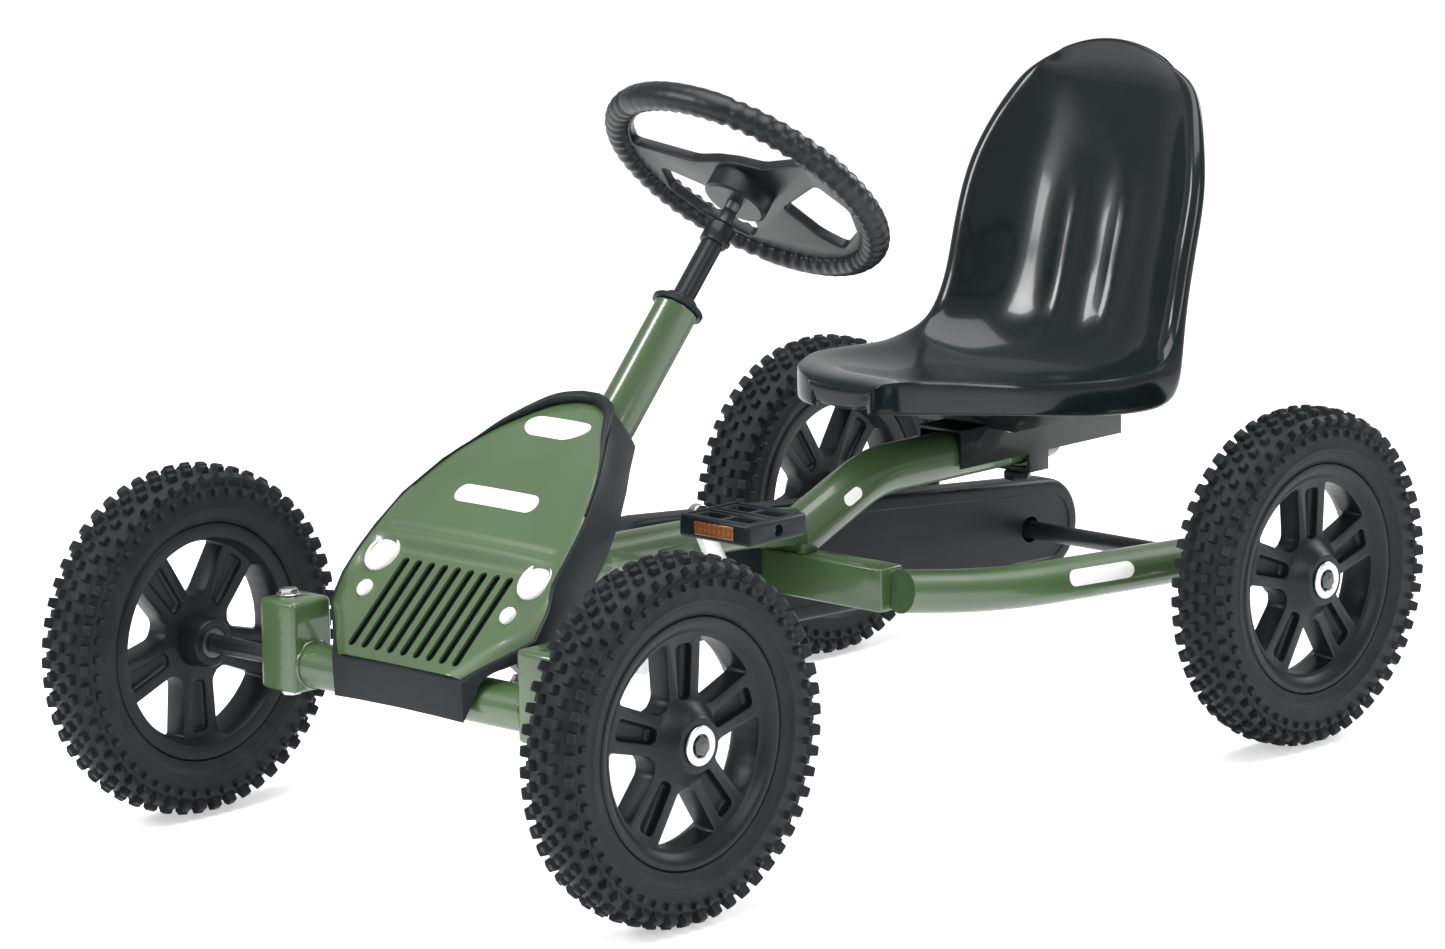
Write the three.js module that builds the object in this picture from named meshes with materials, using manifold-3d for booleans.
// A child's pedal go kart: four pneumatic tyres on moulded five-spoke wheels, a tubular steel frame, a front
// axle that swings, a chain drive under a bucket seat, and a raked steering column with a padded wheel.
// Millimetres. +Z up, -Y is the way the kart drives, +X is the driver's left.
// The origin is on the ground, midway between the axles.
import * as THREE from "three";
import { mergeVertices } from "three/addons/utils/BufferGeometryUtils.js";
import Module from "manifold-3d";

const wasm = await Module();
wasm.setup();

// ---------------------------------------------------------------- driving dimensions
const WHEELBASE = 827;
const TRACK = 590;
const GAP = 0.4; // between pieces that touch
const RUNNING = 0.4; // radial clearance of a shaft in its bearing
const FACETS = 20; // of a wheel
const SMALL_FACETS = 12; // of tubes and shafts

// wheels
const TYRE_RADIUS = 157;
const TYRE_WIDTH = 57;
const TYRE_WALL = 6;
const RIM_RADIUS = 106; // over the flanges
const RIM_WIDTH = 44;
const RIM_WALL = 3;
const BEAD_DEPTH = 5; // bead seat below the flange
const SPOKE_COUNT = 5;
const WINDOW_INNER_RADIUS = 42;
const WINDOW_OUTER_RADIUS = 88;
const WINDOW_INNER_HALF_ANGLE = 13; // degrees
const WINDOW_OUTER_HALF_ANGLE = 23; // degrees
const WEB_FRONT = 14; // outboard face of the spokes, from the wheel's middle
const WEB_THICKNESS = 22;
const HUB_RADIUS = 24;
const HUB_HALF_LENGTH = 30;
const HUB_BORE_RADIUS = 14;
const HUB_RING_OUTER = 17;
const HUB_RING_INNER = 9.5;
const HUB_RING_THICKNESS = 2.6;
const NUT_RADIUS = 8.6;
const NUT_LENGTH = 4.6;
const STUB_RADIUS = 6;

// rear axle and drive
const REAR_AXLE_RADIUS = 8.5;
const CHAIN_X = -43; // plane of the chain
const CHAIN_PITCH = 12.7;
const CHAIN_HALF_HEIGHT = 4;
const CHAIN_WIDTH = 7;
const CHAINRING_TEETH = 24;
const REAR_SPROCKET_TEETH = 16;
const SPROCKET_THICKNESS = 3;
const SPROCKET_PLAY = 1.2; // between the teeth and the chain's inner side
const TOOTH_HEIGHT = 5;
const CRANK_Y = -110;
const CRANK_Z = 190;
const CRANK_LENGTH = 95;
const CRANK_ANGLE = 63; // left arm above the forward horizontal, degrees
const CRANK_AXLE_RADIUS = 7.5;
const CRANK_ARM_X = 78; // middle of an arm
const CRANK_ARM_THICKNESS = 9;
const CRANK_ARM_HALF_HEIGHT = 9;
const CRANK_BOSS_RADIUS = 16;
const PEDAL_BOSS_RADIUS = 11;
const PEDAL_X = 132; // middle of a pedal
const PEDAL_WIDTH = 84;
const PEDAL_LENGTH = 74;
const PEDAL_THICKNESS = 20;
const PEDAL_PIN_RADIUS = 5;
const GUARD_HALF_WIDTH = 16;
const GUARD_WALL = 2.5;
const GUARD_FRONT_RADIUS = 61;
const GUARD_REAR_RADIUS = 45;
const GUARD_TAIL = 24; // middle of its rear end behind the axle

// frame
const COLUMN_TILT = 41.8; // from the vertical, degrees
const COLUMN_SETBACK = 318.2; // top of the head tube behind the front axle
const COLUMN_TOP_Z = 440.2;
const HEAD_TUBE_RADIUS = 20;
const HEAD_TUBE_LENGTH = 262;
const TUBE_WALL = 2.5;
const BEAM_RADIUS = 18;
const BEAM_FRONT_Z = 238;
const BEAM_REAR_Z = 226;
const SEAT_TUBE_RADIUS = 23;
const SEAT_TUBE_Z = 256; // level stretch under the seat
const SEAT_TUBE_END_Y = 400;
const SEAT_TUBE_BEND_Y = 158;
const SEAT_TUBE_FOOT_Y = 40;
const SEAT_TUBE_FOOT_Z = 207;
const CROSS_Y = 56;
const CROSS_Z = 180;
const CROSS_DEPTH = 30;
const CROSS_HEIGHT = 40;
const RAIL_RADIUS = 20;
const RAIL_FRONT_X = 136;
const RAIL_REAR_X = 178;
const RAIL_SETBACK = 11.5; // end of a rail in front of the rear axle
const CARRIER_LENGTH = 28;
const CARRIER_RADIUS = 20;

// front axle
const FRONT_TUBE_RADIUS = 20;
const KINGPIN_X = 166;
const KINGPIN_RADIUS = 5;
const SWING_BOLT_RADIUS = 6;
const YOKE_INNER_X = 136;
const YOKE_OUTER_X = 180;
const YOKE_HEIGHT = 81;
const YOKE_DEPTH = 46;
const YOKE_PLATE = 4;
const YOKE_LIFT = 17; // middle of a yoke above the axle
const ARM_PLATE = 6;
const ARM_DROP = 16; // steering arms below the axle
const STEER_ARM = 55;
const SHOULDER_RADIUS = 8.5;
const TIE_ROD_RADIUS = 5;
const TIE_STUD_RADIUS = 4.5;
const TIE_EYE_RADIUS = 13;
const TIE_EYE_HALF = 4;
const TIE_EYE_PLAY = 6;
const DROP_STUD_RADIUS = 3.5;
const ROD_DROP = 10; // rods below the steering arms
const LEFT_EYE_DROP = 8; // inner eyes below the column's end, along the column
const RIGHT_EYE_DROP = 22;

// steering
const COLUMN_RADIUS = 10;
const COLUMN_BELOW = 350; // below the top of the head tube
const COLUMN_ABOVE = 92;
const POST_RADIUS = 6.8;
const POST_INSERT = 70;
const SOCKET_DEPTH = 130;
const BUSH_LENGTH = 30;
const COLLAR_RADIUS = 24;
const COLLAR_HEIGHT = 12;
const WHEEL_CENTRE = 140; // along the column, from the top of the head tube
const WHEEL_RADIUS = 127; // middle of the grip
const GRIP_RADIUS = 13;
const WHEEL_WEB = 10;
const WHEEL_BOSS_RADIUS = 30;

// seat
const SEAT_WALL = 4.5;
const SEAT_WIDTH = 300;
const CHANNEL_FRONT_Y = 253;
const CHANNEL_REAR_Y = 482;
const CHANNEL_WALL = 3;
const CHANNEL_DROP = 36;
const PAD_HALF_WIDTH = 60;
const PAD_FRONT_Y = 290;
const PAD_REAR_Y = 372;
const PAD_TOP = 299;
const STRAP_THICKNESS = 4;
const STRAP_HALF_LENGTH = 14;
const KNOB_Y = 362;
const KNOB_RADIUS = 13;
const KNOB_HEIGHT = 11;
const KNOB_STUD_RADIUS = 4;

// nose
const PANEL_THICKNESS = 3;
const NOSE_RIM = 4; // black rim round the panel
const NOSE_WALL = 3;
const NOSE_CROWN = 3;

// ---------------------------------------------------------------- derived places
const FRONT_Y = -WHEELBASE / 2;
const REAR_Y = WHEELBASE / 2;
const COLUMN_TOP_Y = FRONT_Y + COLUMN_SETBACK;
const AXLE_Z = TYRE_RADIUS;
const rad = THREE.MathUtils.degToRad;
const pitchRadius = (teeth) => CHAIN_PITCH / (2 * Math.sin(Math.PI / teeth));
const RING_PITCH_RADIUS = pitchRadius(CHAINRING_TEETH);
const SPROCKET_PITCH_RADIUS = pitchRadius(REAR_SPROCKET_TEETH);
const COLUMN_AXIS = new THREE.Vector3(0, Math.sin(rad(COLUMN_TILT)), Math.cos(rad(COLUMN_TILT)));
const COLUMN_TOP = new THREE.Vector3(0, COLUMN_TOP_Y, COLUMN_TOP_Z);
const onColumn = (along) => COLUMN_TOP.clone().addScaledVector(COLUMN_AXIS, along);

// ---------------------------------------------------------------- finishes
const finish = (color, roughness, metalness) => new THREE.MeshStandardMaterial({ color, roughness, metalness });
const GREEN = () => finish(0x4f7045, 0.35, 0.1);
const BLACK = () => finish(0x15191b, 0.5, 0);
const GLOSS_BLACK = () => finish(0x0e1416, 0.2, 0);
const RUBBER = () => finish(0x1b1f21, 0.85, 0);
const STEEL = () => finish(0xb9bcbd, 0.3, 0.9);
const DARK_STEEL = () => finish(0x33383a, 0.4, 0.8);
const AMBER = () => finish(0x8a4f22, 0.3, 0);

// ---------------------------------------------------------------- geometry helpers
const v3 = (x, y, z) => new THREE.Vector3(x, y, z);

// A closed geometry as a manifold solid, and back.
function solid(geometry) {
  const bare = (geometry.index ? geometry.toNonIndexed() : geometry.clone());
  for (const name of ["normal", "uv"]) bare.deleteAttribute(name);
  const merged = mergeVertices(bare, 1e-3);
  return new wasm.Manifold(new wasm.Mesh({
    numProp: 3,
    vertProperties: merged.attributes.position.array,
    triVerts: new Uint32Array(merged.index.array),
  }));
}

function geometryOf(manifold) {
  const mesh = manifold.getMesh();
  const geometry = new THREE.BufferGeometry();
  geometry.setAttribute("position", new THREE.BufferAttribute(mesh.vertProperties, 3));
  geometry.setIndex(new THREE.BufferAttribute(mesh.triVerts, 1));
  return geometry;
}

const join = (...parts) => geometryOf(parts.map(solid).reduce((a, b) => a.add(b)));
const cut = (body, ...tools) => geometryOf(tools.map(solid).reduce((a, b) => a.subtract(b), solid(body)));

// A round bar between two points, or a pipe when it has a bore.
function bar(from, to, radius, bore = 0, facets = SMALL_FACETS) {
  const length = from.distanceTo(to);
  const profile = bore > 0
    ? [[bore, 0], [radius, 0], [radius, length], [bore, length], [bore, 0]]
    : [[0, 0], [radius, 0], [radius, length], [0, length]];
  const geometry = new THREE.LatheGeometry(profile.map(([r, h]) => new THREE.Vector2(r, h)), facets);
  const turn = new THREE.Quaternion().setFromUnitVectors(v3(0, 1, 0), to.clone().sub(from).normalize());
  return geometry.applyQuaternion(turn).translate(from.x, from.y, from.z);
}

const barX = (x0, x1, y, z, radius, bore, facets) => bar(v3(x0, y, z), v3(x1, y, z), radius, bore, facets);
const barZ = (x, y, z0, z1, radius, bore, facets) => bar(v3(x, y, z0), v3(x, y, z1), radius, bore, facets);

// A ring turned about the X axis from [x, radius] points that close on themselves, in either sense.
function turnedX(profile, facets) {
  const points = profile.map(([x, r]) => new THREE.Vector2(r, x));
  if (THREE.ShapeUtils.isClockWise(points)) points.reverse();
  return new THREE.LatheGeometry([...points, points[0]], facets).rotateZ(-Math.PI / 2);
}

// A block between two corners.
function block(x0, x1, y0, y1, z0, z1) {
  return new THREE.BoxGeometry(x1 - x0, y1 - y0, z1 - z0)
    .translate((x0 + x1) / 2, (y0 + y1) / 2, (z0 + z1) / 2);
}

// A flat outline [y, z] extruded along X from x0 to x1.
function plateX(shape, x0, x1, curveSegments = 6) {
  return new THREE.ExtrudeGeometry(shape, { depth: x1 - x0, bevelEnabled: false, curveSegments })
    .applyMatrix4(new THREE.Matrix4().makeBasis(v3(0, 1, 0), v3(0, 0, 1), v3(1, 0, 0)))
    .translate(x0, 0, 0);
}

const outline = (points) => new THREE.Shape(points.map(([a, b]) => new THREE.Vector2(a, b)));

// A pipe bent along points, with rounded corners.
function bentPipe(points, radius, wall, bend, steps) {
  const path = new THREE.CurvePath();
  let start = points[0];
  for (let i = 1; i < points.length - 1; i++) {
    const before = points[i].clone().add(points[i - 1].clone().sub(points[i]).setLength(bend));
    const after = points[i].clone().add(points[i + 1].clone().sub(points[i]).setLength(bend));
    path.add(new THREE.LineCurve3(start, before));
    path.add(new THREE.QuadraticBezierCurve3(before, points[i], after));
    start = after;
  }
  path.add(new THREE.LineCurve3(start, points.at(-1)));
  const section = new THREE.Shape().absarc(0, 0, radius, 0, 2 * Math.PI);
  section.holes.push(new THREE.Path().absarc(0, 0, radius - wall, 0, 2 * Math.PI, true));
  return new THREE.ExtrudeGeometry(section, { steps, extrudePath: path, curveSegments: SMALL_FACETS / 2 });
}

// A closed solid between two grids of points with the same rows and columns.
function between(top, bottom) {
  const rows = top.length;
  const columns = top[0].length;
  const positions = [...top.flat(), ...bottom.flat()].flatMap((p) => [p.x, p.y, p.z]);
  const at = (row, column, side) => side * rows * columns + row * columns + column;
  const index = [];
  const quad = (a, b, c, d) => index.push(a, b, c, a, c, d);
  for (let r = 0; r < rows - 1; r++) {
    for (let c = 0; c < columns - 1; c++) {
      quad(at(r, c, 0), at(r, c + 1, 0), at(r + 1, c + 1, 0), at(r + 1, c, 0));
      quad(at(r, c, 1), at(r + 1, c, 1), at(r + 1, c + 1, 1), at(r, c + 1, 1));
    }
  }
  for (let r = 0; r < rows - 1; r++) {
    quad(at(r, 0, 0), at(r + 1, 0, 0), at(r + 1, 0, 1), at(r, 0, 1));
    quad(at(r, columns - 1, 0), at(r, columns - 1, 1), at(r + 1, columns - 1, 1), at(r + 1, columns - 1, 0));
  }
  for (let c = 0; c < columns - 1; c++) {
    quad(at(0, c, 0), at(0, c, 1), at(0, c + 1, 1), at(0, c + 1, 0));
    quad(at(rows - 1, c, 0), at(rows - 1, c + 1, 0), at(rows - 1, c + 1, 1), at(rows - 1, c, 1));
  }
  const geometry = new THREE.BufferGeometry();
  geometry.setAttribute("position", new THREE.Float32BufferAttribute(positions, 3));
  geometry.setIndex(index);
  return geometry;
}

const kart = new THREE.Group();

function add(name, geometry, material, parent = kart) {
  const mesh = new THREE.Mesh(geometry, material);
  mesh.name = name;
  parent.add(mesh);
  return mesh;
}

// ---------------------------------------------------------------- wheels
// Local frame of a wheel: the origin is its middle, +X points outboard.
function tyreGeometry() {
  const half = TYRE_WIDTH / 2;
  const beadRadius = RIM_RADIUS - BEAD_DEPTH + GAP;
  const bead = RIM_WIDTH / 2 - RIM_WALL - GAP;
  const outer = [
    [bead, beadRadius],
    [bead, RIM_RADIUS + 1],
    [half, RIM_RADIUS + (TYRE_RADIUS - RIM_RADIUS) * 0.38],
    [half - 2, TYRE_RADIUS - 13],
    [half - 12, TYRE_RADIUS - 2],
    [0, TYRE_RADIUS],
  ];
  const inner = [
    [bead - TYRE_WALL, beadRadius],
    [half - TYRE_WALL, RIM_RADIUS + (TYRE_RADIUS - RIM_RADIUS) * 0.38],
    [half - 12, TYRE_RADIUS - 2 * TYRE_WALL],
  ];
  const mirrored = (points) => points.map(([x, r]) => [-x, r]);
  const profile = [
    ...mirrored(inner).reverse(),
    ...mirrored(outer).slice(0, -1),
    ...outer.slice().reverse(),
    ...inner,
  ];
  return turnedX(profile, FACETS);
}

function windowGeometry(angle) {
  const inner = rad(WINDOW_INNER_HALF_ANGLE);
  const outer = rad(WINDOW_OUTER_HALF_ANGLE);
  const polar = (radius, a) => [radius * Math.cos(angle + a), radius * Math.sin(angle + a)];
  return plateX(outline([
    polar(WINDOW_INNER_RADIUS, -inner),
    polar(WINDOW_OUTER_RADIUS, -outer),
    polar(WINDOW_OUTER_RADIUS, -outer / 3),
    polar(WINDOW_OUTER_RADIUS, outer / 3),
    polar(WINDOW_OUTER_RADIUS, outer),
    polar(WINDOW_INNER_RADIUS, inner),
  ]), -RIM_WIDTH, RIM_WIDTH);
}

function rimGeometry(firstWindow) {
  const half = RIM_WIDTH / 2;
  const barrel = RIM_RADIUS - BEAD_DEPTH - RIM_WALL * 3;
  const seat = RIM_RADIUS - BEAD_DEPTH;
  const webBack = WEB_FRONT - WEB_THICKNESS;
  const body = turnedX([
    [-HUB_HALF_LENGTH, HUB_BORE_RADIUS],
    [-HUB_HALF_LENGTH, HUB_RADIUS - 3],
    [webBack, HUB_RADIUS],
    [webBack, barrel],
    [-half, barrel],
    [-half, RIM_RADIUS],
    [-half + RIM_WALL, seat],
    [half - RIM_WALL, seat],
    [half, RIM_RADIUS],
    [half, barrel],
    [WEB_FRONT, barrel - 4],
    [WEB_FRONT, HUB_RADIUS + 4],
    [HUB_HALF_LENGTH, HUB_RADIUS],
    [HUB_HALF_LENGTH, HUB_BORE_RADIUS],
  ], FACETS);
  const windows = Array.from({ length: SPOKE_COUNT }, (_, i) =>
    windowGeometry(firstWindow + (i * 2 * Math.PI) / SPOKE_COUNT));
  return cut(body, ...windows);
}

// side is +1 on the driver's left and -1 on the right.
function addWheel(place, side, y, shaftRadius, hasBearing) {
  const wheel = new THREE.Group();
  wheel.position.set((side * TRACK) / 2, y, AXLE_Z);
  wheel.rotation.z = side > 0 ? 0 : Math.PI;
  const windowAtTop = Math.PI / 2;
  const firstWindow = side > 0 ? windowAtTop + Math.PI / SPOKE_COUNT : windowAtTop;
  add(`tyre_${place}`, tyreGeometry(), RUBBER(), wheel);
  add(`rim_${place}`, rimGeometry(firstWindow), BLACK(), wheel);
  if (hasBearing) {
    add(`bearing_${place}`, turnedX([
      [-HUB_HALF_LENGTH, shaftRadius + RUNNING],
      [HUB_HALF_LENGTH, shaftRadius + RUNNING],
      [HUB_HALF_LENGTH, HUB_BORE_RADIUS - GAP],
      [-HUB_HALF_LENGTH, HUB_BORE_RADIUS - GAP],
    ], FACETS), DARK_STEEL(), wheel);
  }
  const ringFrom = HUB_HALF_LENGTH + GAP;
  add(`hub_ring_${place}`, turnedX([
    [ringFrom, HUB_RING_INNER],
    [ringFrom + HUB_RING_THICKNESS, HUB_RING_INNER],
    [ringFrom + HUB_RING_THICKNESS, HUB_RING_OUTER],
    [ringFrom, HUB_RING_OUTER],
  ], FACETS), STEEL(), wheel);
  add(`axle_nut_${place}`, barX(ringFrom, ringFrom + NUT_LENGTH, 0, 0, NUT_RADIUS), DARK_STEEL(), wheel);
  kart.add(wheel);
}

addWheel("front_left", 1, FRONT_Y, STUB_RADIUS, true);
addWheel("front_right", -1, FRONT_Y, STUB_RADIUS, true);
addWheel("rear_left", 1, REAR_Y, REAR_AXLE_RADIUS, false);
addWheel("rear_right", -1, REAR_Y, REAR_AXLE_RADIUS, true);

// ---------------------------------------------------------------- rear axle and its sprocket
// The left rear wheel is keyed to the axle and the right one turns on its own bearing.
const SHAFT_END = TRACK / 2 + HUB_HALF_LENGTH;

function rearAxleGeometry() {
  const keyed = barX(TRACK / 2 - HUB_HALF_LENGTH, SHAFT_END, REAR_Y, AXLE_Z, HUB_BORE_RADIUS - GAP, 0, FACETS);
  const shaft = barX(-SHAFT_END, TRACK / 2, REAR_Y, AXLE_Z, REAR_AXLE_RADIUS, 0, FACETS);
  return join(shaft, keyed);
}
add("rear_axle", rearAxleGeometry(), DARK_STEEL());

// A toothed disc in the chain's plane, bored for its shaft.
function sprocketGeometry(teeth, y, z, bore) {
  const tip = pitchRadius(teeth) - CHAIN_HALF_HEIGHT - SPROCKET_PLAY;
  const root = tip - TOOTH_HEIGHT;
  const points = [];
  for (let i = 0; i < teeth; i++) {
    const middle = (i * 2 * Math.PI) / teeth;
    const half = Math.PI / teeth;
    points.push([y + root * Math.cos(middle - half), z + root * Math.sin(middle - half)]);
    points.push([y + tip * Math.cos(middle - half / 3), z + tip * Math.sin(middle - half / 3)]);
    points.push([y + tip * Math.cos(middle + half / 3), z + tip * Math.sin(middle + half / 3)]);
  }
  const shape = outline(points);
  shape.holes.push(new THREE.Path().absarc(y, z, bore, 0, 2 * Math.PI, true));
  return plateX(shape, CHAIN_X - SPROCKET_THICKNESS / 2, CHAIN_X + SPROCKET_THICKNESS / 2);
}
add("rear_sprocket", sprocketGeometry(REAR_SPROCKET_TEETH, REAR_Y, AXLE_Z, REAR_AXLE_RADIUS + GAP), STEEL());

// ---------------------------------------------------------------- crank, chainring and pedals
const crankRadians = rad(CRANK_ANGLE);
const pedalPlace = (side) => v3(
  side * PEDAL_X,
  CRANK_Y - side * CRANK_LENGTH * Math.cos(crankRadians),
  CRANK_Z + side * CRANK_LENGTH * Math.sin(crankRadians),
);

function crankGeometry(side, withAxle) {
  const pedal = pedalPlace(side);
  const inner = side * (CRANK_ARM_X - CRANK_ARM_THICKNESS / 2);
  const outer = side * (CRANK_ARM_X + CRANK_ARM_THICKNESS / 2);
  const [x0, x1] = side > 0 ? [inner, outer] : [outer, inner];
  const across = v3(0, Math.sin(crankRadians), Math.cos(crankRadians)).multiplyScalar(CRANK_ARM_HALF_HEIGHT);
  const corners = [
    [CRANK_Y - across.y, CRANK_Z - across.z],
    [CRANK_Y + across.y, CRANK_Z + across.z],
    [pedal.y + across.y, pedal.z + across.z],
    [pedal.y - across.y, pedal.z - across.z],
  ];
  const arm = plateX(outline(side > 0 ? corners.reverse() : corners), x0, x1);
  const pieces = [
    arm,
    barX(x0, x1, CRANK_Y, CRANK_Z, CRANK_BOSS_RADIUS),
    barX(x0, x1, pedal.y, pedal.z, PEDAL_BOSS_RADIUS),
    bar(v3(inner, pedal.y, pedal.z), v3(side * (PEDAL_X + PEDAL_WIDTH / 2 - 8), pedal.y, pedal.z),
      PEDAL_PIN_RADIUS),
  ];
  if (withAxle) pieces.push(barX(x0, CRANK_ARM_X + CRANK_ARM_THICKNESS, CRANK_Y, CRANK_Z, CRANK_AXLE_RADIUS));
  return join(...pieces);
}
add("crank_right", crankGeometry(-1, true), STEEL());
add("crank_left", cut(crankGeometry(1, false),
  barX(0, 2 * CRANK_ARM_X, CRANK_Y, CRANK_Z, CRANK_AXLE_RADIUS + GAP)), STEEL());
add("chainring", sprocketGeometry(CHAINRING_TEETH, CRANK_Y, CRANK_Z, CRANK_AXLE_RADIUS + GAP), STEEL());

const REFLECTOR_HEIGHT = 12;
const REFLECTOR_WIDTH = 46;
const REFLECTOR_DEPTH = 3.4;
const PEDAL_BORDER = 12;
const PEDAL_WINDOW = 14;

function pedalGeometry(side) {
  const { x, y, z } = pedalPlace(side);
  const [halfX, halfY, halfZ] = [PEDAL_WIDTH / 2, PEDAL_LENGTH / 2, PEDAL_THICKNESS / 2];
  const body = block(x - halfX, x + halfX, y - halfY, y + halfY, z - halfZ, z + halfZ);
  const windows = [y - halfY + PEDAL_BORDER, y + halfY - PEDAL_BORDER - PEDAL_WINDOW].map((from) => block(
    x - halfX + PEDAL_BORDER, x + halfX - PEDAL_BORDER, from, from + PEDAL_WINDOW, z - halfZ - 1, z + halfZ + 1));
  const bore = barX(x - halfX - 1, x + halfX + 1, y, z, PEDAL_PIN_RADIUS + RUNNING);
  const pocket = block(
    x - REFLECTOR_WIDTH / 2 - GAP, x + REFLECTOR_WIDTH / 2 + GAP,
    y - halfY - 1, y - halfY + REFLECTOR_DEPTH + GAP,
    z - REFLECTOR_HEIGHT / 2 - GAP, z + REFLECTOR_HEIGHT / 2 + GAP);
  return cut(body, ...windows, bore, pocket);
}

function reflectorGeometry(side) {
  const { x, y, z } = pedalPlace(side);
  const face = y - PEDAL_LENGTH / 2;
  return block(x - REFLECTOR_WIDTH / 2, x + REFLECTOR_WIDTH / 2, face, face + REFLECTOR_DEPTH,
    z - REFLECTOR_HEIGHT / 2, z + REFLECTOR_HEIGHT / 2);
}
for (const [name, side] of [["left", 1], ["right", -1]]) {
  add(`pedal_${name}`, pedalGeometry(side), BLACK());
  add(`reflector_${name}`, reflectorGeometry(side), AMBER());
}

// ---------------------------------------------------------------- chain and its guard
// The outline round two circles joined by their common tangents, as [y, z] points; `tail` moves the rear one back.
function beltPoints(frontRadius, rearRadius, steps, tail = 0) {
  const dy = REAR_Y + tail - CRANK_Y;
  const dz = AXLE_Z - CRANK_Z;
  const slope = Math.atan2(dz, dy);
  const lean = Math.asin((frontRadius - rearRadius) / Math.hypot(dy, dz));
  const points = [];
  const arc = (y, z, radius, from, to) => {
    for (let i = 0; i <= steps; i++) {
      const a = from + ((to - from) * i) / steps;
      points.push([y + radius * Math.cos(a), z + radius * Math.sin(a)]);
    }
  };
  const upper = slope + Math.PI / 2 - lean;
  const lower = slope - Math.PI / 2 + lean;
  arc(REAR_Y + tail, AXLE_Z, rearRadius, lower, upper);
  arc(CRANK_Y, CRANK_Z, frontRadius, upper, lower + 2 * Math.PI);
  return points;
}

function chainGeometry() {
  const loop = (offset) => beltPoints(RING_PITCH_RADIUS + offset, SPROCKET_PITCH_RADIUS + offset, 10);
  const shape = outline(loop(CHAIN_HALF_HEIGHT));
  shape.holes.push(new THREE.Path(loop(-CHAIN_HALF_HEIGHT).map(([y, z]) => new THREE.Vector2(y, z))));
  return plateX(shape, CHAIN_X - CHAIN_WIDTH / 2, CHAIN_X + CHAIN_WIDTH / 2);
}
add("chain", chainGeometry(), DARK_STEEL());

// One half of the guard: side +1 is the half against the frame, -1 the outer half.
function guardGeometry(side) {
  const face = CHAIN_X + side * GUARD_HALF_WIDTH;
  const split = CHAIN_X + (side * GAP) / 2;
  const [x0, x1] = side > 0 ? [split, face] : [face, split];
  const shell = plateX(outline(beltPoints(GUARD_FRONT_RADIUS, GUARD_REAR_RADIUS, 8, GUARD_TAIL)), x0, x1);
  const hollow = plateX(
    outline(beltPoints(GUARD_FRONT_RADIUS - GUARD_WALL, GUARD_REAR_RADIUS - GUARD_WALL, 8, GUARD_TAIL)),
    side > 0 ? x0 - 1 : x0 + GUARD_WALL, side > 0 ? x1 - GUARD_WALL : x1 + 1);
  const past = 2;
  const crankHole = barX(x0 - past, x1 + past, CRANK_Y, CRANK_Z, CRANK_AXLE_RADIUS + 4);
  const axleHole = barX(x0 - past, x1 + past, REAR_Y, AXLE_Z, REAR_AXLE_RADIUS + 4);
  const crossHole = block(x0 - past, x1 + past,
    CROSS_Y - CROSS_DEPTH / 2 - 2, CROSS_Y + CROSS_DEPTH / 2 + 2,
    CROSS_Z - CROSS_HEIGHT / 2 - 2, CROSS_Z + CROSS_HEIGHT / 2 + 2);
  return cut(shell, hollow, crankHole, axleHole, crossHole);
}
add("guard_inner", guardGeometry(1), BLACK());
add("guard_outer", guardGeometry(-1), BLACK());

// ---------------------------------------------------------------- frame
const HEAD_BOTTOM = onColumn(-HEAD_TUBE_LENGTH);
add("head_tube", bar(HEAD_BOTTOM, onColumn(0), HEAD_TUBE_RADIUS, HEAD_TUBE_RADIUS - TUBE_WALL), GREEN());

const BEAM_HEAD_Z = HEAD_BOTTOM.z - 6.9; // the beam's front end
const BEAM_START_Y = onColumn((BEAM_HEAD_Z - COLUMN_TOP_Z) / COLUMN_AXIS.z).y - 3.8; // just past the column's axis
const BEAM_END_Y = CROSS_Y - 8;
const CRANK_PLATE_X = 20;
const CRANK_BEARING_RADIUS = 14;

// The main beam carries two plates that hang down and hold the crank's bearings.
function mainBeamGeometry() {
  const beam = bentPipe([
    v3(0, BEAM_START_Y, BEAM_HEAD_Z),
    v3(0, CROSS_Y - 70, BEAM_REAR_Z + 4),
    v3(0, BEAM_END_Y, BEAM_REAR_Z - 4),
  ], BEAM_RADIUS, TUBE_WALL, 20, 6);
  const cutter = bar(onColumn(-HEAD_TUBE_LENGTH - 40), onColumn(0), HEAD_TUBE_RADIUS + GAP);
  const plate = (side) => {
    const [x0, x1] = side > 0 ? [BEAM_RADIUS - 4, CRANK_PLATE_X] : [-CRANK_PLATE_X, 4 - BEAM_RADIUS];
    return plateX(outline([
      [CRANK_Y - 30, BEAM_FRONT_Z - 4],
      [CRANK_Y - 20, CRANK_Z - 18],
      [CRANK_Y + 20, CRANK_Z - 18],
      [CRANK_Y + 30, BEAM_FRONT_Z - 4],
    ]), x0, x1);
  };
  const bore = barX(-2 * CRANK_PLATE_X, 2 * CRANK_PLATE_X, CRANK_Y, CRANK_Z, CRANK_BEARING_RADIUS + GAP);
  return cut(join(beam, plate(1), plate(-1)), cutter, bore);
}
add("main_beam", mainBeamGeometry(), GREEN());

for (const [name, side] of [["left", 1], ["right", -1]]) {
  const outerX = side * (CRANK_PLATE_X + 3);
  add(`crank_bearing_${name}`, bar(v3(side * 8, CRANK_Y, CRANK_Z), v3(outerX, CRANK_Y, CRANK_Z),
    CRANK_BEARING_RADIUS, CRANK_AXLE_RADIUS + RUNNING), DARK_STEEL());
}

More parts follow.
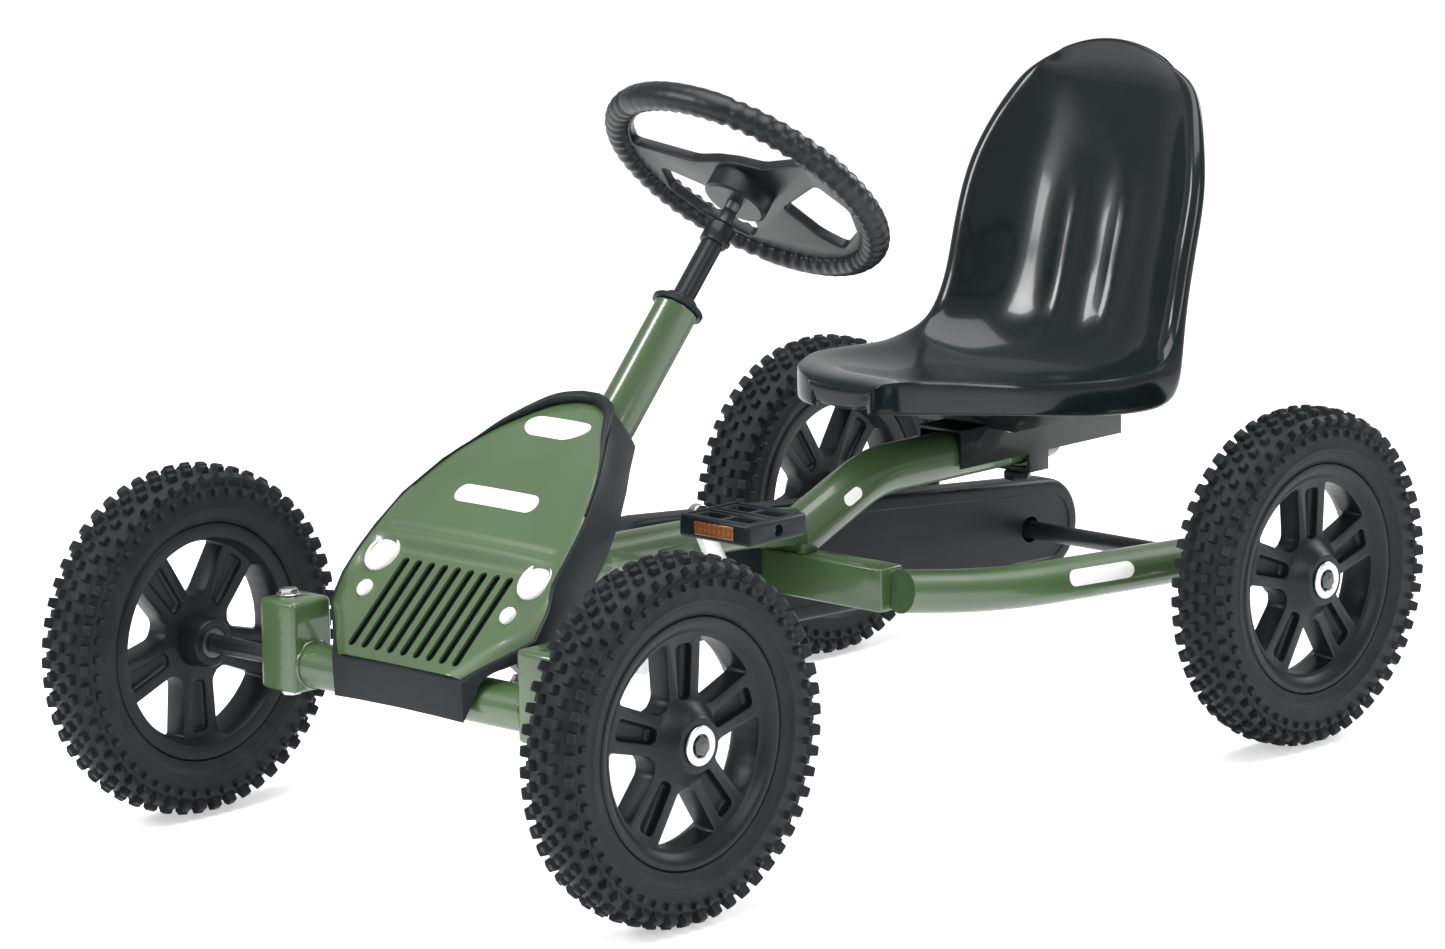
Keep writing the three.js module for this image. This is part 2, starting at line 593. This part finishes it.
// A plate behind the front axle holds the swing bolt; two cheeks carry it back to the head tube and the beam.
const FORK_X = HEAD_TUBE_RADIUS + GAP; // inner side of a cheek
const FORK_PLATE = 4;
const FORK_FACE_Y = FRONT_Y + FRONT_TUBE_RADIUS + 5; // front of the plate that holds the bolt
const FORK_BACK_Y = FORK_FACE_Y + 9;
const FORK_TOP = AXLE_Z + 47.9; // top of that plate

function frontForkGeometry() {
  const side = outline([
    [FORK_FACE_Y, AXLE_Z - 19],
    [FORK_BACK_Y, AXLE_Z - 19],
    [FORK_BACK_Y + 6, FORK_TOP - 6],
    [HEAD_BOTTOM.y + 30, HEAD_BOTTOM.z - 30],
    [HEAD_BOTTOM.y + 64, BEAM_FRONT_Z - 10],
    [HEAD_BOTTOM.y + 64, BEAM_FRONT_Z + 10],
    [HEAD_BOTTOM.y - 20, HEAD_BOTTOM.z + 8],
    [FORK_BACK_Y + 18, FORK_TOP + 26],
    [FORK_FACE_Y, FORK_TOP],
  ]);
  const bolt = bar(v3(0, FRONT_Y, AXLE_Z), v3(0, 0, AXLE_Z), SWING_BOLT_RADIUS + GAP);
  const plate = block(-FORK_X, FORK_X, FORK_FACE_Y, FORK_BACK_Y, AXLE_Z - 19, FORK_TOP);
  return cut(join(plate, plateX(side, FORK_X - 0.01, FORK_X + FORK_PLATE),
    plateX(side, -FORK_X - FORK_PLATE, 0.01 - FORK_X)), bolt);
}
add("front_fork", frontForkGeometry(), GREEN());

const SWING_SLEEVE = FRONT_TUBE_RADIUS + 1; // half the length of the sleeve through the axle tube
const BOLT_HEAD_Y = FRONT_Y - SWING_SLEEVE - GAP;
add("swing_bolt", join(
  bar(v3(0, BOLT_HEAD_Y - 2, AXLE_Z), v3(0, FORK_BACK_Y + 8, AXLE_Z), SWING_BOLT_RADIUS),
  bar(v3(0, BOLT_HEAD_Y - 2.4, AXLE_Z), v3(0, BOLT_HEAD_Y, AXLE_Z), 11),
  bar(v3(0, FORK_BACK_Y + GAP, AXLE_Z), v3(0, FORK_BACK_Y + 7, AXLE_Z), 10, 0, 6),
), STEEL());

add("cross_tube", cut(
  block(-RAIL_FRONT_X + RAIL_RADIUS, RAIL_FRONT_X - RAIL_RADIUS,
    CROSS_Y - CROSS_DEPTH / 2, CROSS_Y + CROSS_DEPTH / 2, CROSS_Z - CROSS_HEIGHT / 2, CROSS_Z + CROSS_HEIGHT / 2),
  block(-RAIL_FRONT_X, RAIL_FRONT_X,
    CROSS_Y - CROSS_DEPTH / 2 + TUBE_WALL, CROSS_Y + CROSS_DEPTH / 2 - TUBE_WALL,
    CROSS_Z - CROSS_HEIGHT / 2 + TUBE_WALL, CROSS_Z + CROSS_HEIGHT / 2 - TUBE_WALL),
), GREEN());

function seatTubeGeometry() {
  const pipe = bentPipe([
    v3(0, SEAT_TUBE_FOOT_Y, SEAT_TUBE_FOOT_Z),
    v3(0, SEAT_TUBE_BEND_Y, SEAT_TUBE_Z),
    v3(0, SEAT_TUBE_END_Y, SEAT_TUBE_Z),
  ], SEAT_TUBE_RADIUS, TUBE_WALL, 25, 8);
  const weld = 8; // the beam's room, cut from the foot of the tube
  const beam = bar(v3(0, -CROSS_Y, BEAM_REAR_Z + 12), v3(0, BEAM_END_Y + GAP, BEAM_REAR_Z - 4), BEAM_RADIUS + weld);
  const under = block(-CROSS_HEIGHT, CROSS_HEIGHT, -CROSS_Y, 2 * CROSS_Y,
    CROSS_Z - CROSS_HEIGHT, CROSS_Z + CROSS_HEIGHT / 2 + GAP);
  return cut(pipe, beam, under);
}
add("seat_tube", seatTubeGeometry(), GREEN());

// A rail runs from the cross tube's end back to the bearing housing of the rear axle.
function railGeometry(side) {
  const pipe = bentPipe([
    v3(side * (RAIL_FRONT_X - 6), CROSS_Y - 4, CROSS_Z),
    v3(side * (RAIL_FRONT_X + 10), CROSS_Y + 110, CROSS_Z - 16),
    v3(side * RAIL_REAR_X, REAR_Y - RAIL_SETBACK, AXLE_Z + 2),
  ], RAIL_RADIUS, TUBE_WALL, 60, 8);
  const housing = bar(v3(side * (RAIL_REAR_X - CARRIER_LENGTH / 2), REAR_Y, AXLE_Z),
    v3(side * (RAIL_REAR_X + CARRIER_LENGTH / 2), REAR_Y, AXLE_Z), CARRIER_RADIUS);
  const bore = barX(-2 * RAIL_REAR_X, 2 * RAIL_REAR_X, REAR_Y, AXLE_Z, CARRIER_RADIUS - TUBE_WALL);
  const reach = RAIL_FRONT_X - RAIL_RADIUS + GAP;
  const crossRoom = block(-reach, reach,
    CROSS_Y - CROSS_DEPTH, CROSS_Y + CROSS_DEPTH / 2 + GAP, CROSS_Z - CROSS_HEIGHT, CROSS_Z + CROSS_HEIGHT);
  return cut(join(pipe, housing), bore, crossRoom);
}
for (const [name, side] of [["left", 1], ["right", -1]]) {
  add(`rail_${name}`, railGeometry(side), GREEN());
  add(`rear_bearing_${name}`, bar(
    v3(side * (RAIL_REAR_X - CARRIER_LENGTH / 2), REAR_Y, AXLE_Z),
    v3(side * (RAIL_REAR_X + CARRIER_LENGTH / 2), REAR_Y, AXLE_Z),
    CARRIER_RADIUS - TUBE_WALL - GAP, REAR_AXLE_RADIUS + RUNNING), DARK_STEEL());
}

// ---------------------------------------------------------------- front axle, knuckles and tie rods
const YOKE_LOW = AXLE_Z + YOKE_LIFT - YOKE_HEIGHT / 2;
const YOKE_HIGH = YOKE_LOW + YOKE_HEIGHT;
const ARM_Z = AXLE_Z - ARM_DROP; // level of the steering arms
const TIE_Y = FRONT_Y + STEER_ARM;

function frontAxleGeometry() {
  const tube = barX(-YOKE_INNER_X - 10, YOKE_INNER_X + 10, FRONT_Y, AXLE_Z, FRONT_TUBE_RADIUS);
  const bore = barX(-YOKE_OUTER_X, YOKE_OUTER_X, FRONT_Y, AXLE_Z, FRONT_TUBE_RADIUS - TUBE_WALL);
  const sleeve = bar(v3(0, FRONT_Y - SWING_SLEEVE, AXLE_Z), v3(0, FRONT_Y + SWING_SLEEVE, AXLE_Z), 11);
  const eye = bar(v3(0, FRONT_Y - 30, AXLE_Z), v3(0, FRONT_Y + 30, AXLE_Z), SWING_BOLT_RADIUS + RUNNING);
  const yokes = [-1, 1].flatMap((side) => {
    const [x0, x1] = side > 0 ? [YOKE_INNER_X, YOKE_OUTER_X] : [-YOKE_OUTER_X, -YOKE_INNER_X];
    const [y0, y1] = [FRONT_Y - YOKE_DEPTH / 2, FRONT_Y + YOKE_DEPTH / 2];
    const inner = side > 0 ? x0 : x1 - YOKE_PLATE;
    return [
      block(x0, x1, y0, y0 + YOKE_PLATE, YOKE_LOW, YOKE_HIGH),
      block(x0, x1, y0, y1, YOKE_LOW, YOKE_LOW + YOKE_PLATE),
      block(x0, x1, y0, y1, YOKE_HIGH - YOKE_PLATE, YOKE_HIGH),
      block(inner, inner + YOKE_PLATE, y0, y1, YOKE_LOW, YOKE_HIGH),
    ];
  });
  const pins = [-1, 1].map((side) =>
    barZ(side * KINGPIN_X, FRONT_Y, YOKE_LOW - 5, YOKE_HIGH + 5, KINGPIN_RADIUS + GAP));
  return cut(join(cut(join(tube, ...yokes), bore), sleeve), eye, ...pins);
}
add("front_axle", frontAxleGeometry(), GREEN());

function kingpinGeometry(side) {
  const x = side * KINGPIN_X;
  return join(
    barZ(x, FRONT_Y, YOKE_LOW - 7, YOKE_HIGH + 5, KINGPIN_RADIUS),
    barZ(x, FRONT_Y, YOKE_HIGH + GAP, YOKE_HIGH + 6, 9, 0, 6),
    barZ(x, FRONT_Y, YOKE_LOW - 7, YOKE_LOW - GAP, 9, 0, 6),
  );
}

function knuckleGeometry(side) {
  const x = side * KINGPIN_X;
  const sleeve = barZ(x, FRONT_Y, YOKE_LOW + YOKE_PLATE + 1, YOKE_HIGH - YOKE_PLATE - 1, 12);
  const bore = barZ(x, FRONT_Y, YOKE_LOW, YOKE_HIGH, KINGPIN_RADIUS + RUNNING);
  const stub = bar(v3(x, FRONT_Y, AXLE_Z), v3(side * SHAFT_END, FRONT_Y, AXLE_Z), STUB_RADIUS, 0, FACETS);
  const shoulder = bar(v3(x, FRONT_Y, AXLE_Z), v3(side * (TRACK / 2 - HUB_HALF_LENGTH - 2), FRONT_Y, AXLE_Z),
    SHOULDER_RADIUS);
  const arm = block(x - 9, x + 9, FRONT_Y, TIE_Y + 10, ARM_Z - ARM_PLATE / 2, ARM_Z + ARM_PLATE / 2);
  const stud = barZ(x, TIE_Y, ROD_Z - TIE_EYE_HALF - 1, ARM_Z, TIE_STUD_RADIUS);
  return cut(join(sleeve, stub, shoulder, arm, stud), bore);
}

// The column's lower end carries an arm whose stud stands in both rods' inner eyes, one below the other, with play.
const ROD_Z = ARM_Z - ROD_DROP;
const ALONG_ARM = v3(0, Math.cos(rad(COLUMN_TILT)), -Math.sin(rad(COLUMN_TILT)));
const eyePlace = (drop) => onColumn(-COLUMN_BELOW - drop).addScaledVector(ALONG_ARM, STEER_ARM);

function tieRodGeometry(side, drop) {
  const outer = v3(side * KINGPIN_X, TIE_Y, ROD_Z);
  const inner = eyePlace(drop);
  const innerBar = (half, radius) => bar(
    inner.clone().addScaledVector(COLUMN_AXIS, -half), inner.clone().addScaledVector(COLUMN_AXIS, half), radius);
  const rod = bar(inner, outer, TIE_ROD_RADIUS, 0, 8);
  const outerEye = barZ(outer.x, outer.y, ROD_Z - TIE_EYE_HALF, ROD_Z + TIE_EYE_HALF, 10);
  const outerHole = barZ(outer.x, outer.y, ROD_Z - 9, ROD_Z + 9, TIE_STUD_RADIUS + RUNNING);
  return cut(join(rod, outerEye, innerBar(TIE_EYE_HALF, TIE_EYE_RADIUS)),
    outerHole, innerBar(2 * TIE_EYE_HALF, DROP_STUD_RADIUS + TIE_EYE_PLAY));
}
for (const [name, side, drop] of [["left", 1, LEFT_EYE_DROP], ["right", -1, RIGHT_EYE_DROP]]) {
  add(`kingpin_${name}`, kingpinGeometry(side), STEEL());
  add(`knuckle_${name}`, knuckleGeometry(side), DARK_STEEL());
  add(`tie_rod_${name}`, tieRodGeometry(side, drop), STEEL());
}

// ---------------------------------------------------------------- steering
// Local frame of the column: origin at the head tube's top, +Z up the column, +Y towards the driver's lap.
const column = new THREE.Group();
column.position.copy(COLUMN_TOP);
column.rotation.x = -rad(COLUMN_TILT);
kart.add(column);

add("head_collar", barZ(0, 0, GAP, COLLAR_HEIGHT, COLLAR_RADIUS, COLUMN_RADIUS + RUNNING), BLACK(), column);
add("head_bush", barZ(0, 0, -HEAD_TUBE_LENGTH, -HEAD_TUBE_LENGTH + BUSH_LENGTH,
  HEAD_TUBE_RADIUS - TUBE_WALL - GAP, COLUMN_RADIUS + RUNNING), BLACK(), column);

function columnGeometry() {
  const shaft = barZ(0, 0, -COLUMN_BELOW, COLUMN_ABOVE, COLUMN_RADIUS);
  const socket = barZ(0, 0, COLUMN_ABOVE - SOCKET_DEPTH, COLUMN_ABOVE + 5, POST_RADIUS + RUNNING);
  const arm = block(-12, 12, -8, STEER_ARM + 9, -COLUMN_BELOW, -COLUMN_BELOW + ARM_PLATE);
  const stud = barZ(0, STEER_ARM, -COLUMN_BELOW - RIGHT_EYE_DROP - 12, -COLUMN_BELOW + 2, DROP_STUD_RADIUS);
  return cut(join(shaft, arm, stud), socket);
}
add("steering_column", columnGeometry(), DARK_STEEL(), column);

add("steering_post", barZ(0, 0, COLUMN_ABOVE - POST_INSERT, WHEEL_CENTRE - 4, POST_RADIUS), DARK_STEEL(), column);

// Openings of the wheel's web, as [x, up] points of the right-hand half; up is away from the driver.
const WHEEL_WEB_RADIUS = WHEEL_RADIUS - GRIP_RADIUS + 4;
const TOP_OPENING = [[104, 46], [40, 29], [12, 34]];
const SIDE_OPENING = [[94, 12], [23, -34], [38, -76], [56, -92], [92, -62], [108, -24]];

function steeringWheelGeometry() {
  const web = new THREE.Shape().absarc(0, 0, WHEEL_WEB_RADIUS, 0, 2 * Math.PI);
  const openingRadius = WHEEL_RADIUS - GRIP_RADIUS;
  const topArc = [28, 60, 90, 120, 152].map((degrees) =>
    [openingRadius * Math.cos(rad(degrees)), openingRadius * Math.sin(rad(degrees))]);
  const otherHalf = (points) => points.map(([x, up]) => [-x, up]);
  const openings = [
    [...topArc, ...otherHalf(TOP_OPENING), ...TOP_OPENING.toReversed()],
    SIDE_OPENING.toReversed(),
    otherHalf(SIDE_OPENING),
  ];
  const plate = new THREE.ExtrudeGeometry(web, { depth: WHEEL_WEB, bevelEnabled: false, curveSegments: 16 })
    .translate(0, 0, -WHEEL_WEB / 2);
  const tools = openings.map((points) => {
    const shape = outline(points.map(([x, up]) => [x, -up]));
    return new THREE.ExtrudeGeometry(shape, { depth: 4 * WHEEL_WEB, bevelEnabled: false })
      .translate(0, 0, -2 * WHEEL_WEB);
  });
  const grip = new THREE.TorusGeometry(WHEEL_RADIUS, GRIP_RADIUS, 8, 28);
  const boss = barZ(0, 0, -26, 8, WHEEL_BOSS_RADIUS);
  const socket = barZ(0, 0, -40, 0, POST_RADIUS + GAP);
  return cut(join(cut(plate, ...tools), grip, boss), socket).translate(0, 0, WHEEL_CENTRE);
}
add("steering_wheel", steeringWheelGeometry(), BLACK(), column);

// ---------------------------------------------------------------- seat
// Stations along the seat's middle line, from the front lip over the pan and up the back:
// [y, z, half width share, rise of the bolster, drop of the outer skirt, direction of the rise in degrees]
// The direction is measured from the vertical, towards the front.
const SEAT_STATIONS = [
  [120, 318, 0.2, 2, 0, 0],
  [117, 340, 0.26, 3, 8, 0],
  [130, 347, 0.44, 3, 18, 0],
  [160, 345, 0.58, 4, 22, 0],
  [200, 337, 0.78, 8, 24, 2],
  [240, 328, 0.93, 14, 24, 4],
  [300, 316, 1, 22, 35, 8],
  [352, 309, 1.03, 28, 38, 18],
  [396, 310, 1.07, 36, 42, 40],
  [434, 335, 1.02, 34, 16, 64],
  [455, 380, 0.98, 34, 8, 78],
  [470, 430, 0.975, 36, 8, 80],
  [486, 485, 0.96, 34, 7, 80],
  [498, 533, 0.86, 27, 6, 82],
  [506, 573, 0.72, 15, 5, 84],
  [507, 600, 0.5, 7, 4, 86],
  [504, 614, 0.28, 3, 2, 88],
  [499, 620, 0.1, 1, 1, 90],
];
// Columns across half the seat: [share of the half width, share of the rise].
const SEAT_COLUMNS = [[0.3, 0.04], [0.55, 0.2], [0.76, 0.62], [0.88, 0.95], [0.95, 1], [1, 0.85]];

function seatGrid() {
  return SEAT_STATIONS.map(([y, z, share, rise, drop, lean]) => {
    const half = (SEAT_WIDTH / 2) * share;
    const up = v3(0, -Math.sin(rad(lean)), Math.cos(rad(lean)));
    const point = (across, lift) => v3(half * across, y, z).addScaledVector(up, lift);
    const halfRow = (sign) => [
      ...SEAT_COLUMNS.map(([across, lift]) => point(sign * across, lift * rise)),
      point(sign, SEAT_COLUMNS.at(-1)[1] * rise - drop),
    ];
    return [...halfRow(-1).reverse(), point(0, 0), ...halfRow(1)];
  });
}

function thickened(grid, wall) {
  const rows = grid.length;
  const columns = grid[0].length;
  return grid.map((row, r) => row.map((point, c) => {
    const along = grid[Math.min(r + 1, rows - 1)][c].clone().sub(grid[Math.max(r - 1, 0)][c]);
    const across = row[Math.min(c + 1, columns - 1)].clone().sub(row[Math.max(c - 1, 0)]);
    return point.clone().addScaledVector(along.cross(across).normalize(), wall);
  }));
}

const seatTop = seatGrid();
add("seat_shell", between(seatTop, thickened(seatTop, SEAT_WALL)), GLOSS_BLACK());

const CHANNEL_TOP = SEAT_TUBE_Z + SEAT_TUBE_RADIUS + 2 * GAP + CHANNEL_WALL;
const STRAP_TOP = SEAT_TUBE_Z - SEAT_TUBE_RADIUS - GAP;

function channelGeometry() {
  const inner = SEAT_TUBE_RADIUS + 2 * GAP;
  const outer = inner + CHANNEL_WALL;
  const body = block(-outer, outer, CHANNEL_FRONT_Y, CHANNEL_REAR_Y, CHANNEL_TOP - CHANNEL_DROP, CHANNEL_TOP);
  const room = block(-inner, inner, CHANNEL_FRONT_Y - 5, CHANNEL_REAR_Y + 5,
    CHANNEL_TOP - CHANNEL_DROP - 5, CHANNEL_TOP - CHANNEL_WALL);
  const pad = block(-PAD_HALF_WIDTH, PAD_HALF_WIDTH, PAD_FRONT_Y, PAD_REAR_Y, CHANNEL_TOP - CHANNEL_WALL, PAD_TOP);
  const strapFront = KNOB_Y - STRAP_HALF_LENGTH;
  const strapRear = KNOB_Y + STRAP_HALF_LENGTH;
  const strap = block(-outer, outer, strapFront, strapRear, STRAP_TOP - STRAP_THICKNESS, STRAP_TOP);
  const ears = [-1, 1].map((s) => block(s > 0 ? inner : -outer, s > 0 ? outer : -inner,
    strapFront, strapRear, STRAP_TOP - STRAP_THICKNESS, CHANNEL_TOP - CHANNEL_DROP + 5));
  const hole = barZ(0, KNOB_Y, STRAP_TOP - 20, STRAP_TOP + 20, KNOB_STUD_RADIUS + GAP);
  return cut(join(cut(body, room), pad, strap, ...ears), hole);
}
add("seat_bracket", channelGeometry(), BLACK());

const KNOB_TOP = STRAP_TOP - STRAP_THICKNESS - GAP;
add("seat_knob", join(
  barZ(0, KNOB_Y, KNOB_TOP - KNOB_HEIGHT, KNOB_TOP, KNOB_RADIUS),
  barZ(0, KNOB_Y, KNOB_TOP - KNOB_HEIGHT, STRAP_TOP, KNOB_STUD_RADIUS),
), BLACK());

// ---------------------------------------------------------------- nose
// Stations up the nose: [half width, y behind the front axle, z, wall's reach in y, wall's reach in z]
const NOSE_STATIONS = [
  [75, -28.5, 180, 2, -34],
  [88, -17.5, 190, 2, -8],
  [106, -1.5, 202, 6, -9],
  [122, 11.5, 213, 20, -18],
  [123, 27.5, 236, 33, -25],
  [117, 40.5, 256, 30, -29],
  [114.5, 59.5, 274, 26, -32],
  [108, 87.5, 299, 25, -33],
  [91.5, 121.5, 326, 25, -33],
  [76, 144.5, 342, 26, -32],
  [60, 165.5, 355, 26, -32],
  [36, 197.5, 369, 26, -32],
  [14, 209.5, 373, 26, -32],
];
const NOSE_ACROSS = [-1, -0.6, 0, 0.6, 1];

// The nose's skin, widened by `rim` and sunk by `sink` along its normal.
function noseGrid(rim, sink) {
  return NOSE_STATIONS.map(([half, y, z], i) => {
    const before = NOSE_STATIONS[Math.max(i - 1, 0)];
    const after = NOSE_STATIONS[Math.min(i + 1, NOSE_STATIONS.length - 1)];
    const run = new THREE.Vector2(after[1] - before[1], after[2] - before[2]).normalize();
    const grow = i === 0 ? -rim : i === NOSE_STATIONS.length - 1 ? rim : 0;
    return NOSE_ACROSS.map((t) => {
      const lift = NOSE_CROWN * (1 - t * t) * Math.min(1, half / 80) - sink;
      return v3(t * (half + rim), FRONT_Y + y + run.x * grow - run.y * lift, z + run.y * grow + run.x * lift);
    });
  });
}

const reaching = (grid, factor) => grid.map((row, i) =>
  row.map((p) => v3(p.x, p.y + NOSE_STATIONS[i][3] * factor, p.z + NOSE_STATIONS[i][4] * factor)));

const panelTop = noseGrid(0, 0);
add("nose_panel", between(panelTop, noseGrid(0, PANEL_THICKNESS)), GREEN());

function noseShellGeometry() {
  const top = noseGrid(NOSE_RIM, 0);
  const outer = between(top, reaching(top, 1));
  const under = noseGrid(NOSE_RIM - NOSE_WALL, PANEL_THICKNESS + GAP + NOSE_WALL);
  const inner = between(under, reaching(under, 1.6));
  const pocket = between(noseGrid(GAP, -6), noseGrid(GAP, PANEL_THICKNESS + GAP));
  const tube = bar(onColumn(-HEAD_TUBE_LENGTH), onColumn(20), HEAD_TUBE_RADIUS + GAP);
  return cut(outer, inner, pocket, tube);
}
add("nose_shell", noseShellGeometry(), BLACK());

export default kart;
